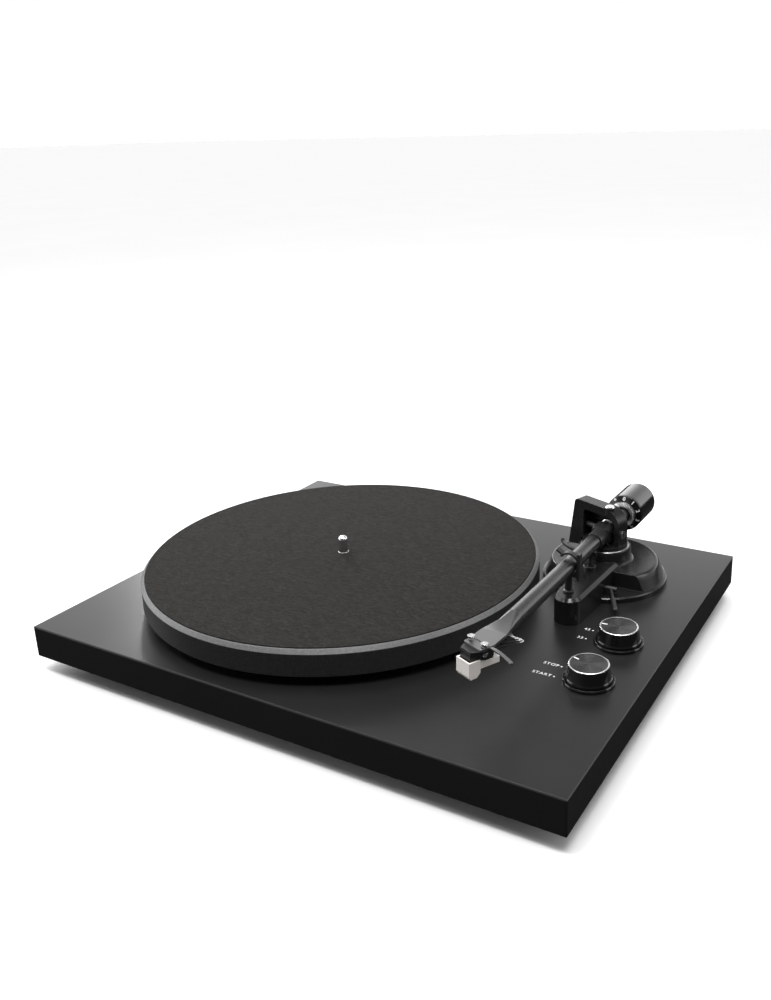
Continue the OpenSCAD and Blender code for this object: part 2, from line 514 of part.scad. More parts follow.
module antiskate_dial() color([0.15, 0.15, 0.15]) yoke_frame() translate([5.5, -2, 0]) {
  translate([0, 0, 14.6]) cylinder(h = 5.5, r = 3.6);
  translate([0, 0, 20.1 - e]) cylinder(h = 0.8, r1 = 3.6, r2 = 3.1);
  for (i = [0:23]) rotate(15 * i) translate([3.4, -0.16, 19.3]) cube([0.35, 0.32, 0.6]);
}

// ---------- the arm itself ----------
module arm_housing() color([0.1, 0.1, 0.105]) {
  arm() difference() {
    union() {
      along(tube_r + 0.7, -27, 4);
      along(6.2, 3.9, 33);
      along(5, 32.9, 66);
      // block round the tilt axis
      translate([0, 1.5, 0]) rotate([90, 0, 0]) linear_extrude(height = 11) rrect(14.8, 12.6, 2.6);
      translate([0, -9.5 + e, 0]) rotate([90, 0, 0]) linear_extrude(height = 3, scale = 0.92) rrect(14.8, 12.6, 2.6);
    }
    along(tube_r, -28, -7);
    along(3.4, -8, 20);
  }
  // tilt pins
  yoke_frame() translate([6.5, 0, 0]) rotate([0, 90, 0]) cylinder(h = 7.4, r = 1.5);
  yoke_frame() translate([-24.2, 0, 0]) rotate([0, 90, 0]) cylinder(h = 18, r = 1.5);
  yoke_frame() translate([-17, 0, 0]) rotate([0, 90, 0]) cylinder(h = 11, r = 2.3);
  yoke_frame() translate([6, 0, 0]) rotate([0, 90, 0]) cylinder(h = 5.8, r = 2.3);
}
tube_end = -168;
module arm_tube() color([0.14, 0.14, 0.15]) arm() difference() {
  along(tube_r, tube_end, -7.1);
  along(tube_r - 0.8, tube_end - 1, 0);
}
// the headshell's own frame lies at this place in the arm's frame
head_at = [-4.4, -208.2, 1];
ha = offset_angle + arm_turn;
function h2a(p) = [head_at[0] + p[0] * cos(ha) + p[1] * sin(ha), head_at[1] - p[0] * sin(ha) + p[1] * cos(ha)];
function a2h(p) = let (x = p[0] - head_at[0], y = p[1] - head_at[1])
  [x * cos(ha) - y * sin(ha), x * sin(ha) + y * cos(ha), p[2] - head_at[2]];
// outline of the flat plate, tube side first
hs_out = concat([[-6.6, -181.5], [-8.2, -184.4], [-9.7, -188], [-10.6, -192], [-11, -197], [-11.5, -202.6]],
  [h2a([-8, -3.8]), h2a([-7.4, -4.4]), h2a([7.4, -4.4]), h2a([8, -3.8]), h2a([8, 6])], [[6.2, -191], [5.4, -181.5]]);
module headshell() color([0.2, 0.2, 0.21]) arm() difference() {
  union() {
    translate([0, 0, head_at[2] - 1.5]) linear_extrude(height = 1.8) polygon(hs_out);
    // the tube's end is pressed flat and runs into the plate
    hull() {
      along(tube_r, tube_end - 0.02, tube_end);
      translate([-0.4, -178, 0]) rotate([90, 0, 0]) linear_extrude(height = 0.02) rrect(11.6, 6.4, 2.4);
    }
    hull() {
      translate([-0.4, -178, 0]) rotate([90, 0, 0]) linear_extrude(height = 0.02) rrect(11.6, 6.4, 2.4);
      translate([0, 0, head_at[2] - 1.5]) linear_extrude(height = 1.8) polygon([[-9.7, -188], [6.1, -190], [5.6, -184], [-8.2, -184.4]]);
    }
    along(tube_r - 0.82, tube_end - e, tube_end + 8);
  }
  // way for the leads, open below where the end flattens
  translate([0, 0, -2.5]) along(3, -190, tube_end + 12);
  // shallow step in front of the plate, and the slots for the two screws
  translate([head_at[0], head_at[1], head_at[2]]) rotate(-ha) {
    translate([-12, -9, -0.1]) cube([24, 11.6, 3]);
    for (x = [-6.35, 6.35]) translate([0, 0, -3]) { translate([x, 0]) cylinder(h = 6, r = 1.35);
      translate([x - 1.35, -1, 0]) cube([2.7, 2, 6]); translate([x, 1]) cylinder(h = 6, r = 1.35);
      translate([x, -1]) cylinder(h = 6, r = 1.35); }
  }
}
module headshell_screws() color([0.85, 0.85, 0.86]) head() for (x = [-6.35, 6.35]) translate([x, 0, -0.1]) {
  translate([0, 0, 1.3]) screw(2.3, 1.4, 1.2, 7.2);
  difference() { cylinder(h = 1.3 + e, r = 1.75); translate([0, 0, -1]) cylinder(h = 4, r = 1.1); }
  translate([0, 0, -4.5]) cylinder(h = 1.6, r = 2.3, $fn = 6);
}
// strip that a fingertip lifts
module finger_lift() color([0.17, 0.17, 0.175]) head() translate([8, 4.1, -0.6]) rotate([90, 0, 0])
  linear_extrude(height = 2.2) polygon(concat(
    [for (i = [0:12]) let (x = 19.4 * i / 12) [x, 0.45 + 0.114 * x - x * x / 88]],
    [for (i = [12:-1:0]) let (x = 19.4 * i / 12) [x, -0.45 + 0.114 * x - x * x / 88]]));
module cartridge_body() color([0.03, 0.03, 0.03]) head() difference() {
  union() {
    translate([0, 0, -2.9]) linear_extrude(height = 1.4) polygon([[-4.7, -9.2], [4.7, -9.2], [8.5, -2.4], [8.5, 3],
      [5, 5.6], [-5, 5.6], [-8.5, 3], [-8.5, -2.4]]);
    translate([-4.9, -9.4, -9.6]) cube([9.8, 10, 7]);
    translate([-4.9, -0.2, -9.6]) cube([9.8, 8, 7]);
    translate([-3.8, 6, -9]) cube([7.6, 3, 6.6]);
  }
  for (x = [-6.35, 6.35]) translate([x, 0, -6]) cylinder(h = 6, r = 1.3);
  for (x = [-6.35, 6.35]) translate([x, 0, -9.8]) cylinder(h = 6.88, r = 2.8);
  // socket for the stylus holder
  translate([-3, -8.9, -9.7]) cube([6, 12, 3.2]);
}
module cartridge_pins() color([0.85, 0.7, 0.32]) head() for (x = [-1.9, 1.9], z = [-7.4, -4.4])
  translate([x, 9, z]) rotate([-90, 0, 0]) cylinder(h = 4, r = 0.55);
module stylus_holder() color([0.9, 0.88, 0.82]) head() difference() {
  union() {
    translate([-5.3, -2.5, -13.8]) cube([10.6, 14.7, 4]);
    translate([-2.9, -5, -12.8]) cube([5.8, 7.9, 6.2]);
  }
  translate([-1.6, -5.4, -14]) cube([3.2, 3.8, 4.6]);
}
// thin sloping tube with the tip at its end
module cantilever() color([0.75, 0.75, 0.77]) head() {
  translate([0, -1.85, -12.3]) rotate([180 - 51.2, 0, 0]) cylinder(h = 7.9, r = 0.3, $fn = 24);
  translate([0, -8, -17.96]) { cylinder(h = 0.5, r1 = 0.03, r2 = 0.2, $fn = 16);
    translate([0, 0, 0.5 - e]) cylinder(h = 0.7, r = 0.2, $fn = 16); }
}
module stylus_guard() color([0.92, 0.9, 0.84]) head() difference() {
  translate([6.3, 0, 0]) rotate([0, -90, 0]) linear_extrude(height = 12.6)
    polygon([[-18.2, -10.4], [-18.2, -5.6], [-15.4, -2.9], [-7.4, -2.9], [-7.4, -11.2], [-16.6, -11.2]]);
  translate([-5.3, -10.2, -17.1]) cube([10.6, 20, 12]);
  translate([-2.8, -10.2, -20]) cube([5.6, 20, 12]);
}
module headshell_leads() color([0.8, 0.8, 0.78]) head() for (i = [0:3]) {
  s = [i < 2 ? 1.9 : -1.9, 13, i % 2 == 0 ? -7.4 : -4.4];
  m = [11.2 - 1.35 * i, 25, -2.4 + 0.6 * (i % 2)];
  t1 = a2h([1.5 - i, -173.5, -3.3]);
  t0 = a2h([2.4 - i, -184, -6.2]);
  wire(concat([for (t = [0:0.1:1]) bez([s, s + [0, 4 + 0.9 * i, 0], m - [0, 4.6 - 0.8 * i, 0], m], t)],
    [for (t = [0.1:0.1:1]) bez([m, m + [0, 4.4 - 0.9 * i, 0], t0, t1], t)]), 0.3);
}
module counterweight() color([0.06, 0.06, 0.065]) arm() difference() {
  union() {
    along(weight_r, 43.4, 77.9);
    cone_along(weight_r, weight_r - 1.4, 77.9 - e, 79.3);
    along(6, 38.6, 44);
  }
  along(5.06, 30, 68);
  along(11.6, 60, 80);
  difference() { along(weight_r + 1, 44.6, 45.2); along(weight_r - 0.6, 44, 46); }
}
module dial_ring() color([0.7, 0.7, 0.71]) arm() difference() {
  cone_along(6.9, weight_r - 0.2, 38.2, 43);
  along(6.07, 30, 60);
}

plinth();
bottom_cover();
cover_screws();
feet();
foot_screws();
bearing_housing();
thrust_ball();
motor();
motor_plate();
motor_grommets();
motor_screws();
drive_belt();
control_board();
board_spacers();
preamp_board();
rear_panel();
rca_jacks();
rca_insulators();
ground_post();
power_inlet();
preamp_switch();
knob_bezels();
rotary_switches();
tonearm_base();
base_ring();
lift_cylinder();
arm_clip();
platter();
sub_platter();
spindle();
felt_mat();
motor_shaft();
motor_pulley();
start_knob();
start_knob_cap();
start_shaft();
speed_knob();
speed_knob_cap();
speed_shaft();
ground_nut();
preamp_slider();
yoke();
pivot_shaft();
pivot_screws();
antiskate_dial();
arm_housing();
arm_tube();
headshell();
headshell_screws();
finger_lift();
cartridge_body();
cartridge_pins();
stylus_holder();
cantilever();
stylus_guard();
headshell_leads();
counterweight();
dial_ring();
lift_bar();
lift_lever();
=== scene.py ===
import json
import math

import bpy
from mathutils import Matrix, Vector

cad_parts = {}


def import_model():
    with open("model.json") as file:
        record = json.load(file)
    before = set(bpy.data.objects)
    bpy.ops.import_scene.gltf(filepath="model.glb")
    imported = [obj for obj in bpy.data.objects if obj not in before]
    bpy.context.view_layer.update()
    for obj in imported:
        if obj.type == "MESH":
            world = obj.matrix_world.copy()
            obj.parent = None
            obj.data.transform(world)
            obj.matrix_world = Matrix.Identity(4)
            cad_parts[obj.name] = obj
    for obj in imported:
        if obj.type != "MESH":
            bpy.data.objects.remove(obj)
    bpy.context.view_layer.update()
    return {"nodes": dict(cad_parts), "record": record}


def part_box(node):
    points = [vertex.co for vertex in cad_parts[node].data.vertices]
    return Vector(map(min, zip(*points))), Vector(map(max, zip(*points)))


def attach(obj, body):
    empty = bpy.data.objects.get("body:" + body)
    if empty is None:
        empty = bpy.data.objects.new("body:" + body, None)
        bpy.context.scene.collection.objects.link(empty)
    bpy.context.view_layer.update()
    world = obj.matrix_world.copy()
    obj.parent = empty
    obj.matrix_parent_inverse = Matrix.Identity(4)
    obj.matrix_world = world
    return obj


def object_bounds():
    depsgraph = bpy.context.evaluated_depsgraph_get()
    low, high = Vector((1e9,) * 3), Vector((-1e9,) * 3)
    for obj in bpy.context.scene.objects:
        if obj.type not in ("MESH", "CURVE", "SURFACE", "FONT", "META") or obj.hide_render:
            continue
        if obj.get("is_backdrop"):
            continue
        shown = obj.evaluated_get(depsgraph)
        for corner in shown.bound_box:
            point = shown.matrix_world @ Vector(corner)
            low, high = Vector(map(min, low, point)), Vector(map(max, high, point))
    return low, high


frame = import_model()
MM = 0.001


# ---------- node helpers ----------
def map_range(tree, fac, from_lo, from_hi, to_lo, to_hi):
    m = tree.nodes.new("ShaderNodeMapRange")
    for i, v in enumerate((from_lo, from_hi, to_lo, to_hi), 1):
        m.inputs[i].default_value = v
    tree.links.new(fac, m.inputs[0])
    return m.outputs[0]


class Shade:
    """A Principled material with its texture nodes placed in the row frame."""

    def __init__(self, name, rough, metallic=0.0, **sockets):
        self.mat = bpy.data.materials.new(name)
        self.mat.use_nodes = True
        self.tree = self.mat.node_tree
        self.bsdf = self.tree.nodes["Principled BSDF"]
        self.bsdf.inputs["Metallic"].default_value = metallic
        self.bsdf.inputs["Roughness"].default_value = rough
        for key, value in sockets.items():
            self.bsdf.inputs[key.replace("_", " ")].default_value = value
        self.coord = self.new("ShaderNodeTexCoord").outputs["Object"]
        self.height = None

    def soft_edges(self, radius):
        """Rounds the shading at sharp edges. Called before any bump."""
        b = self.new("ShaderNodeBevel", samples=4)
        b.inputs["Radius"].default_value = radius
        self.height = b.outputs["Normal"]
        self.link(self.height, self.bsdf.inputs["Normal"])
        return self

    def new(self, kind, **props):
        n = self.tree.nodes.new(kind)
        for k, v in props.items():
            setattr(n, k, v)
        return n

    def link(self, a, b):
        self.tree.links.new(a, b)

    def scaled(self, x, y, z):
        m = self.new("ShaderNodeMapping")
        m.inputs["Scale"].default_value = (x, y, z)
        self.link(self.coord, m.inputs["Vector"])
        return m.outputs["Vector"]

    def noise(self, scale, detail=3.0, rough=0.6, vector=None, distortion=0.0):
        n = self.new("ShaderNodeTexNoise")
        n.inputs["Scale"].default_value = scale
        n.inputs["Detail"].default_value = detail
        n.inputs["Roughness"].default_value = rough
        n.inputs["Distortion"].default_value = distortion
        self.link(vector or self.coord, n.inputs["Vector"])
        return n.outputs["Fac"]

    def ramp(self, fac, stops):
        r = self.new("ShaderNodeValToRGB")
        els = r.color_ramp.elements
        while len(els) < len(stops):
            els.new(0.5)
        for el, (pos, col) in zip(els, stops):
            el.position = pos
            el.color = (*col, 1) if len(col) == 3 else col
        self.link(fac, r.inputs["Fac"])
        return r.outputs["Color"]

    def span(self, fac, lo, hi, a=0.3, b=0.7):
        """Maps a to b in fac onto lo to hi, without going past them."""
        return map_range(self.tree, fac, a, b, lo, hi)

    def dot(self, direction):
        """The surface point's distance along a direction in the row frame."""
        d = self.new("ShaderNodeVectorMath", operation="DOT_PRODUCT")
        d.inputs[1].default_value = direction
        self.link(self.coord, d.inputs[0])
        return d.outputs["Value"]

    def height_z(self):
        """The surface point's height in the row frame."""
        sep = self.new("ShaderNodeSeparateXYZ")
        self.link(self.coord, sep.inputs[0])
        return sep.outputs["Z"]

    def blend(self, fac, a, b):
        """Colour a where fac is 0 and b where it is 1; either may be a plain colour."""
        mix = self.new("ShaderNodeMix", data_type="RGBA")
        self.link(fac, mix.inputs["Factor"])
        for key, value in (("A", a), ("B", b)):
            if isinstance(value, tuple):
                mix.inputs[key].default_value = (*value, 1)
            else:
                self.link(value, mix.inputs[key])
        return mix.outputs["Result"]

    def colour(self, out):
        self.link(out, self.bsdf.inputs["Base Color"])
        return self

    def roughness(self, out):
        self.link(out, self.bsdf.inputs["Roughness"])
        return self

    def bump(self, out, distance, strength=1.0):
        b = self.new("ShaderNodeBump")
        b.inputs["Strength"].default_value = strength
        b.inputs["Distance"].default_value = distance
        self.link(out, b.inputs["Height"])
        if self.height is not None:
            self.link(self.height, b.inputs["Normal"])
        self.height = b.outputs["Normal"]
        self.link(self.height, self.bsdf.inputs["Normal"])
        return self


def either_side(base, spread):
    """Ramp stops a little darker and a little lighter than a colour."""
    lo = tuple(c * (1 - spread) for c in base)
    hi = tuple(min(1, c * (1 + spread)) for c in base)
    return [(0.3, lo), (0.7, hi)]


def moulded(name, base, rough, grain=2600, depth=0.000006, spread=0.25, edge=0.00025):
    """Plastic, rubber or lacquer: slow tone drift, fine grain, uneven gloss."""
    s = Shade(name, rough).soft_edges(edge)
    s.colour(s.ramp(s.noise(55, 5), either_side(base, spread)))
    s.roughness(s.span(s.noise(120, 4), rough * 0.86, min(1, rough * 1.14)))
    return s.bump(s.noise(grain, 2), depth, 0.5)


def metal(name, base, rough, grain=(900, 900, 900), depth=0.000003, spread=0.12, edge=0.0002):
    """Metal with directional scratches; grain is the scratch frequency along each axis."""
    s = Shade(name, rough, 1.0).soft_edges(edge)
    scratch = s.noise(1.0, 3, 0.6, s.scaled(*grain))
    s.colour(s.ramp(scratch, either_side(base, spread)))
    s.roughness(s.span(scratch, rough * 0.8, rough * 1.25))
    return s.bump(scratch, depth, 0.4)


# ---------- arm frame: the tube's own axes ----------
def shift(x, y, z):
    return Matrix.Translation((x * MM, y * MM, z * MM))


def turned(degrees, axis):
    return Matrix.Rotation(math.radians(degrees), 4, axis)


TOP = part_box("plinth")[1].z
PIVOT_HEIGHT = 39  # mm above the plinth
ARM = shift(128, 90, TOP / MM + PIVOT_HEIGHT) @ turned(1.2, "Z") @ turned(-1.9, "X") @ shift(0.4, 0, -1)
# the headshell's own axes, with the origin between its screws
HEAD = ARM @ shift(-4.4, -208.2, 1) @ turned(-25.2, "Z")


# ---------- materials ----------
def plinth_look():
    """Satin lacquer: smooth, with a slow drift of tone and gloss."""
    s = Shade("look_plinth", 0.3).soft_edges(0.0006)
    s.colour(s.ramp(s.noise(18, 4), [(0.3, (0.0112, 0.011, 0.0108)), (0.7, (0.0138, 0.0134, 0.0132))]))
    s.roughness(s.span(s.noise(26, 3), 0.285, 0.315))
    return s.bump(s.noise(160, 2), 0.0000015, 0.3).mat


BEVEL_HEIGHT = 2.75 * MM


def platter_look():
    """Dark speckled casting, with the bevel's colour painted lighter as a highlight."""
    s = Shade("look_platter", 0.46, 0.4, Specular_IOR_Level=0.2)
    speck = s.noise(3400, 2, 0.7)
    side = s.ramp(speck, [
        (0.36, (0.02, 0.02, 0.0205)),
        (0.56, (0.05, 0.05, 0.051)),
        (0.72, (0.15, 0.15, 0.152))])
    # painted highlight: the bevel's speckle is painted brighter than the side's, standing in for light it
    # catches
    bevel_highlight = s.ramp(speck, [
        (0.36, (0.09, 0.09, 0.091)),
        (0.56, (0.2, 0.2, 0.202)),
        (0.72, (0.48, 0.48, 0.485))])
    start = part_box("platter")[1].z - BEVEL_HEIGHT
    s.colour(s.blend(s.span(s.height_z(), 0, 1, start - 0.1 * MM, start + 0.1 * MM), side, bevel_highlight))
    s.roughness(s.span(s.noise(2100, 2), 0.34, 0.5))
    return s.bump(speck, 0.00003, 0.4).mat


def felt_look():
    """Dark felt: fibres drawn out one way, a few pale flecks and a short pile."""
    s = Shade("look_felt", 0.96, Sheen_Weight=0.07, Sheen_Roughness=0.5, Specular_IOR_Level=0.15)
    s.bsdf.inputs["Sheen Tint"].default_value = (0.8, 0.74, 0.7, 1)
    fibre = s.noise(1.0, 7, 0.72, s.scaled(210, 560, 560), 1.2)
    pile = s.noise(1900, 4, 0.7)
    fleck = s.ramp(s.noise(1.0, 4, 0.8, s.scaled(420, 900, 900)), [(0.62, (0, 0, 0)), (0.72, (1, 1, 1))])
    tone = s.ramp(fibre, [
        (0.36, (0.002, 0.0019, 0.0017)),
        (0.5, (0.0085, 0.008, 0.0074)),
        (0.64, (0.0225, 0.0214, 0.0199))])
    s.colour(s.blend(fleck, tone, (0.055, 0.052, 0.048)))
    s.bump(fibre, 0.0009, 0.55)
    return s.bump(pile, 0.0002, 0.5).mat


def knob_top_look(name, node):
    """Spun top with fine rings, inside a polished edge."""
    s = Shade(name, 0.26, 1.0, Anisotropic=0.95)
    lo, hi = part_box(node)
    centre = (lo + hi) / 2
    off = s.new("ShaderNodeVectorMath", operation="SUBTRACT")
    off.inputs[1].default_value = (centre.x, centre.y, 0)
    s.link(s.coord, off.inputs[0])
    flat = s.new("ShaderNodeVectorMath", operation="MULTIPLY")
    flat.inputs[1].default_value = (1, 1, 0)
    s.link(off.outputs[0], flat.inputs[0])
    radius = s.new("ShaderNodeVectorMath", operation="LENGTH")
    s.link(flat.outputs[0], radius.inputs[0])
    bright_edge, groove_pitch = 0.85 * MM, 0.28 * MM
    edge = (hi.x - lo.x) / 2 - bright_edge
    grooves = s.new("ShaderNodeMath", operation="SINE")
    turns = s.new("ShaderNodeMath", operation="MULTIPLY")
    turns.inputs[1].default_value = 2 * math.pi / groove_pitch
    s.link(radius.outputs["Value"], turns.inputs[0])
    s.link(turns.outputs[0], grooves.inputs[0])
    s.colour(s.ramp(s.span(radius.outputs["Value"], 0, 1, edge - 0.05 * MM, edge + 0.05 * MM),
                    [(0.0, (0.11, 0.11, 0.112)), (1.0, (0.85, 0.85, 0.85))]))
    tangent = s.new("ShaderNodeTangent", direction_type="RADIAL", axis="Z")
    s.link(tangent.outputs[0], s.bsdf.inputs["Tangent"])
    return s.bump(grooves.outputs[0], 0.000012, 0.35).mat


def headshell_look():
    """The tube's dark satin finish, its colour painted lighter as a highlight where the end flattens out."""
    s = metal("look_headshell", (0.3, 0.3, 0.305), 0.4, (2600, 300, 2600), edge=0.0003)
    front = (ARM.to_3x3() @ Vector((0, -1, 0))).normalized()
    start, end = (front.dot(ARM @ Vector((0, -y * MM, 0))) for y in (160, 192))
    scratch = s.noise(1.0, 3, 0.6, s.scaled(2600, 300, 2600))
    near = s.ramp(scratch, [(0.3, (0.097, 0.097, 0.099)), (0.7, (0.123, 0.123, 0.125))])
    # painted highlight: the flattened end's colour is lighter, standing in for the light it catches
    painted_highlight_end = s.ramp(scratch, [(0.3, (0.2, 0.2, 0.203)), (0.7, (0.23, 0.23, 0.233))])
    flat = s.span(s.dot(front), 0, 1, start, end)
    s.roughness(s.span(flat, 0.3, 0.42, 0, 1))
    return s.colour(s.blend(flat, near, painted_highlight_end)).mat


def dial_look():
    """Silver towards the hub, dark where the figures stand."""
    s = Shade("look_dial", 0.26, 1.0)
    s.soft_edges(0.0003)
    back = ARM.inverted()
    # distance from the arm's axis, from two directions square to it
    both = s.new("ShaderNodeCombineXYZ")
    for i, row in enumerate((0, 2)):
        add = s.new("ShaderNodeMath", operation="ADD")
        add.inputs[1].default_value = back[row][3]
        s.link(s.dot(back[row][:3]), add.inputs[0])
        s.link(add.outputs[0], both.inputs[i])
    radius = s.new("ShaderNodeVectorMath", operation="LENGTH")
    s.link(both.outputs[0], radius.inputs[0])
    s.colour(s.ramp(s.span(radius.outputs["Value"], 0, 1, 9.6 * MM, 10.4 * MM),
                    [(0.0, (0.6, 0.6, 0.605)), (1.0, (0.04, 0.04, 0.041))]))
    turned_lines = s.noise(1.0, 3, 0.6, s.scaled(200, 3600, 200))
    s.roughness(s.span(turned_lines, 0.2, 0.34))
    return s.bump(turned_lines, 0.000003, 0.4).mat


def lead_look():
    """Black sleeves, with a painted highlight making them bright where the leads turn back under the arm."""
    s = Shade("look_lead", 0.25)
    back = (HEAD.to_3x3() @ Vector((0, 1, 0))).normalized()
    edge = back.dot(HEAD @ Vector((0, 23.3 * MM, 0)))
    # painted highlight: the leads' colour turns bright beyond the bend
    s.colour(s.ramp(s.span(s.dot(back), 0, 1, edge - 0.3 * MM, edge + 0.3 * MM),
                    [(0.0, (0.015, 0.015, 0.015)), (1.0, (0.6, 0.6, 0.59))]))
    s.roughness(s.span(s.noise(900, 3), 0.2, 0.34))
    return s.bump(s.noise(1.0, 3, 0.6, s.scaled(2400, 600, 2400)), 0.00001, 0.4).mat


# slot: name, colour, roughness, and what differs from the defaults
MOULDED = {
    "cover_black": ("look_cover", (0.03, 0.03, 0.03), 0.55, {"grain": 900, "depth": 0.00006}),
    "rubber": ("look_rubber", (0.022, 0.022, 0.022), 0.82, {"grain": 1500, "depth": 0.00006, "spread": 0.35}),
    "board_green": ("look_board", (0.02, 0.13, 0.06), 0.4, {"grain": 900, "spread": 0.2}),
    "white_plastic": ("look_white", (0.78, 0.78, 0.75), 0.45, {"spread": 0.05}),
    "black_plastic": ("look_black_plastic", (0.02, 0.02, 0.02), 0.42, {}),
    "gloss_black": ("look_gloss_black", (0.006, 0.006, 0.006), 0.1,
                    {"grain": 900, "depth": 0.000001, "spread": 0.15, "edge": 0.0004}),
    "arm_base_black": ("look_arm_base", (0.012, 0.012, 0.0125), 0.24,
                       {"grain": 1200, "depth": 0.000002, "spread": 0.12, "edge": 0.0005}),
    "yoke_black": ("look_yoke", (0.012, 0.0125, 0.012), 0.27,
                   {"grain": 1600, "depth": 0.000003, "spread": 0.15, "edge": 0.0005}),
    "ivory": ("look_ivory", (0.93, 0.88, 0.84), 0.3,
              {"spread": 0.04, "grain": 1800, "depth": 0.000002, "edge": 0.0004}),
}
METALS = {
    "dark_screw": ("look_dark_screw", (0.05, 0.05, 0.052), 0.4, {}),
    "steel": ("look_steel", (0.56, 0.56, 0.57), 0.26, {"grain": (300, 300, 4200)}),
    "brass": ("look_brass", (0.72, 0.5, 0.2), 0.25, {"grain": (300, 300, 4200)}),
    "motor_can": ("look_can", (0.5, 0.51, 0.52), 0.33, {}),
    "gold": ("look_gold", (0.86, 0.62, 0.26), 0.18, {"grain": (2400, 300, 2400)}),
    "chrome": ("look_chrome", (0.84, 0.84, 0.85), 0.09, {"grain": (700, 700, 700), "spread": 0.05}),
    "dark_metal": ("look_dark_metal", (0.16, 0.16, 0.17), 0.38, {}),
    "arm_metal": ("look_arm", (0.11, 0.11, 0.112), 0.3, {"grain": (2600, 200, 2600), "edge": 0.0003}),
    "weight_black": ("look_weight", (0.085, 0.085, 0.087), 0.16,
                     {"grain": (200, 3600, 200), "depth": 0.000002, "edge": 0.0004}),
}


def build_looks():
    """The material of each of the record's slots, apart from the knob tops, which differ by node."""
    looks = {
        "plinth_black": plinth_look(),
        "platter_metal": platter_look(),
        "felt": felt_look(),
        "headshell_metal": headshell_look(),
        "lead_skin": lead_look(),
        "dial_metal": dial_look(),
    }
    for make, table in ((moulded, MOULDED), (metal, METALS)):
        for slot, (name, base, rough, more) in table.items():
            looks[slot] = make(name, base, rough, **more).mat
    return looks


def bias_look(node):
    """Black body with a bright turned top."""
    s = Shade("look_bias", 0.22)
    s.soft_edges(0.0002)
    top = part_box(node)[1].z
    height = s.span(s.height_z(), 0, 1, top - 1.0 * MM, top - 0.75 * MM)
    s.colour(s.ramp(height, [(0.0, (0.02, 0.02, 0.02)), (1.0, (0.72, 0.72, 0.73))]))
    s.link(height, s.bsdf.inputs["Metallic"])
    s.roughness(s.span(s.noise(1400, 3), 0.16, 0.3))
    return s.bump(s.noise(1600, 2), 0.000003, 0.4).mat


LOOKS = build_looks()
DULL = metal("look_dull_steel", (0.4, 0.4, 0.41), 0.3, (700, 700, 2400)).mat
NODE_LOOKS = {
    "arm_housing": moulded("look_housing", (0.022, 0.022, 0.022), 0.34,
                           grain=1400, depth=0.000003, spread=0.15, edge=0.0005).mat,
    "cartridge_body": moulded("look_cartridge", (0.006, 0.006, 0.006), 0.36,
                              grain=1400, depth=0.000003, spread=0.2).mat,
    "pivot_screws": DULL,
    "base_ring": DULL,
    "antiskate_dial": bias_look("antiskate_dial"),
    "start_knob_cap": knob_top_look("look_start_knob_cap", "start_knob_cap"),
    "speed_knob_cap": knob_top_look("look_speed_knob_cap", "speed_knob_cap"),
}
SLOT = {p["node"]: p["material_slot"] for p in frame["record"]["subparts"]}
for node, obj in frame["nodes"].items():
    look = NODE_LOOKS.get(node) or LOOKS[SLOT[node]]
    if not obj.material_slots:
        obj.data.materials.append(None)
    for s in obj.material_slots:
        s.material = look

# a smooth surface where the CAD is faceted: welded, then split again at real edges
SPLIT_ANGLES = {"headshell": 55, "arm_housing": 32, "yoke": 32, "tonearm_base": 32,
                "headshell_leads": 32, "drive_belt": 32}
for node, split_angle in SPLIT_ANGLES.items():
    obj = frame["nodes"][node]
    custom = obj.data.attributes.get("custom_normal")
    if custom:
        obj.data.attributes.remove(custom)
    for p in obj.data.polygons:
        p.use_smooth = True
    weld = obj.modifiers.new("weld", "WELD")
    weld.merge_threshold = 0.000004
    split = obj.modifiers.new("edges", "EDGE_SPLIT")
    split.split_angle = math.radians(split_angle)
    obj.modifiers.new("normals", "WEIGHTED_NORMAL").keep_sharp = True

PRINT = moulded("look_print", (0.93, 0.93, 0.93), 0.5, spread=0.04, grain=5000, depth=0.000003).mat
RED = moulded("look_ring_red", (0.5, 0.03, 0.03), 0.4).mat
WHITE = moulded("look_ring_white", (0.75, 0.75, 0.74), 0.4, spread=0.06).mat


# ---------- meshes made here ----------
def piece(name, verts, faces, look, body, smooth=True):
    """Makes a mesh object that rides on a body."""
    mesh = bpy.data.meshes.new(name)
    mesh.from_pydata([tuple(v) for v in verts], [], faces)
    mesh.update()
    for p in mesh.polygons:
        p.use_smooth = smooth
    obj = bpy.data.objects.new(name, mesh)
    bpy.context.scene.collection.objects.link(obj)
    mesh.materials.append(look)
    if smooth:
        mesh.set_sharp_from_angle(angle=math.radians(35))
    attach(obj, body)
    return obj


def letters(text, size, place, align="CENTER", spacing=1.12, thick=0.06 * MM, bold=0.0):
    """Vertices and faces of a word, with place mapping (x, y, z) of the flat word to the row frame."""
    curve = bpy.data.curves.new("word", "FONT")
    curve.body, curve.size = text, size
    curve.align_x, curve.align_y = align, "CENTER"
    curve.space_character, curve.offset = spacing, bold
    curve.extrude, curve.resolution_u = thick / 2, 6
    holder = bpy.data.objects.new("word", curve)
    bpy.context.scene.collection.objects.link(holder)
    dg = bpy.context.evaluated_depsgraph_get()
    mesh = bpy.data.meshes.new_from_object(holder.evaluated_get(dg))
    verts = [place(v.co) for v in mesh.vertices]
    faces = [tuple(p.vertices) for p in mesh.polygons]
    bpy.data.objects.remove(holder)
    bpy.data.curves.remove(curve)
    bpy.data.meshes.remove(mesh)
    return verts, faces


def merged(parts):
    """Joins (vertices, faces) pairs into one."""
    verts, faces = [], []
    for v, f in parts:
        faces += [tuple(i + len(verts) for i in face) for face in f]
        verts += v
    return verts, faces


def prism(outline, z0, z1, place):
    """A flat outline given thickness from z0 to z1."""
    n = len(outline)
    verts = [place(Vector((x, y, z))) for z in (z0, z1) for x, y in outline]
    faces = [tuple(range(n - 1, -1, -1)), tuple(range(n, 2 * n))]
    faces += [(i, (i + 1) % n, n + (i + 1) % n, n + i) for i in range(n)]
    return verts, faces


